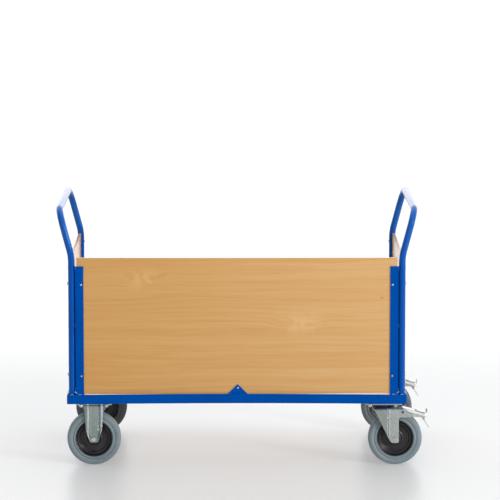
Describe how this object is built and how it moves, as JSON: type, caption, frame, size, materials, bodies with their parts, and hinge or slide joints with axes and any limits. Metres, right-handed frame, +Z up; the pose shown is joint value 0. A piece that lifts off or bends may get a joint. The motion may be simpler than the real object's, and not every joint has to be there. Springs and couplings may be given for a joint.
{
  "type": "platform trolley",
  "caption": "Platform trolley with an angle-steel frame, wooden deck, end walls, a long side wall, tubular push bars, fixed casters at one end and braked swivel casters at the other.",
  "frame": {"origin": "on the floor, under the middle of the overall box", "axes": "+Z up, +Y from the walled long side to the open long side, +X towards the braked swivel casters"},
  "size_m": [1.3856, 0.8, 0.969],
  "materials": {
    "blue_paint": "semi-gloss blue powder coat",
    "beech": "beech-coloured melamine-faced board, satin",
    "zinc": "bright zinc plated pressed steel",
    "tyre_grey": "grey non-marking rubber, matt",
    "rim_black": "black moulded plastic"
  },
  "bodies": {
    "chassis": {"front_rail": "blue_paint", "rear_rail": "blue_paint", "left_rail": "blue_paint", "right_rail": "blue_paint", "left_caster_carrier": "blue_paint", "right_caster_carrier": "blue_paint", "deck_board": "beech", "left_push_bar": "blue_paint", "right_push_bar": "blue_paint", "front_strip_left": "blue_paint", "front_strip_right": "blue_paint", "left_end_strip_front": "blue_paint", "left_end_strip_rear": "blue_paint", "right_end_strip_front": "blue_paint", "right_end_strip_rear": "blue_paint", "front_panel": "beech", "left_end_panel": "beech", "right_end_panel": "beech", "panel_gusset": "blue_paint", "front_screw_left_upper": "zinc", "front_screw_left_lower": "zinc", "front_screw_right_upper": "zinc", "front_screw_right_lower": "zinc", "gusset_screw": "zinc", "front_left_bracket": "zinc", "front_left_axle_bolt": "zinc", "front_left_axle_nut": "zinc", "front_left_axle_sleeve": "zinc", "rear_left_bracket": "zinc", "rear_left_axle_bolt": "zinc", "rear_left_axle_nut": "zinc", "rear_left_axle_sleeve": "zinc", "front_right_top_plate": "zinc", "front_right_kingpin": "zinc", "rear_right_top_plate": "zinc", "rear_right_kingpin": "zinc"},
    "front_left_wheel": {"front_left_tyre": "tyre_grey", "front_left_rim": "rim_black"},
    "rear_left_wheel": {"rear_left_tyre": "tyre_grey", "rear_left_rim": "rim_black"},
    "front_right_wheel": {"front_right_tyre": "tyre_grey", "front_right_rim": "rim_black"},
    "rear_right_wheel": {"rear_right_tyre": "tyre_grey", "rear_right_rim": "rim_black"},
    "front_right_swivel": {"front_right_fork": "zinc", "front_right_axle_bolt": "zinc", "front_right_axle_nut": "zinc", "front_right_axle_sleeve": "zinc"},
    "front_right_pedal": {"front_right_pedal": "zinc", "front_right_step_plate": "zinc", "front_right_release_tab": "zinc", "front_right_brake_shoe": "zinc"},
    "rear_right_swivel": {"rear_right_fork": "zinc", "rear_right_axle_bolt": "zinc", "rear_right_axle_nut": "zinc", "rear_right_axle_sleeve": "zinc"},
    "rear_right_pedal": {"rear_right_pedal": "zinc", "rear_right_step_plate": "zinc", "rear_right_release_tab": "zinc", "rear_right_brake_shoe": "zinc"}
  },
  "joints": [
    {"name": "front_left_wheel_spin", "type": "hinge", "parent": "chassis", "child": "front_left_wheel", "pos_m": [-0.55582, -0.3376, 0.1], "axis": [0, 1, 0], "continuous": true},
    {"name": "rear_left_wheel_spin", "type": "hinge", "parent": "chassis", "child": "rear_left_wheel", "pos_m": [-0.55582, 0.3376, 0.1], "axis": [0, 1, 0], "continuous": true},
    {"name": "front_right_swivel_turn", "type": "hinge", "parent": "chassis", "child": "front_right_swivel", "pos_m": [0.52218, -0.3376, 0.2], "axis": [0, 0, 1], "continuous": true},
    {"name": "front_right_wheel_spin", "type": "hinge", "parent": "front_right_swivel", "child": "front_right_wheel", "pos_m": [0.56518, -0.3376, 0.1], "axis": [0, 1, 0], "continuous": true},
    {"name": "front_right_brake_pedal", "type": "hinge", "parent": "front_right_swivel", "child": "front_right_pedal", "pos_m": [0.59318, -0.3376, 0.1994], "axis": [0, 1, 0], "range_deg": [0, 9]},
    {"name": "rear_right_swivel_turn", "type": "hinge", "parent": "chassis", "child": "rear_right_swivel", "pos_m": [0.52218, 0.3376, 0.2], "axis": [0, 0, 1], "continuous": true},
    {"name": "rear_right_wheel_spin", "type": "hinge", "parent": "rear_right_swivel", "child": "rear_right_wheel", "pos_m": [0.56518, 0.3376, 0.1], "axis": [0, 1, 0], "continuous": true},
    {"name": "rear_right_brake_pedal", "type": "hinge", "parent": "rear_right_swivel", "child": "rear_right_pedal", "pos_m": [0.59318, 0.3376, 0.1994], "axis": [0, 1, 0], "range_deg": [0, 9]}
  ]
}
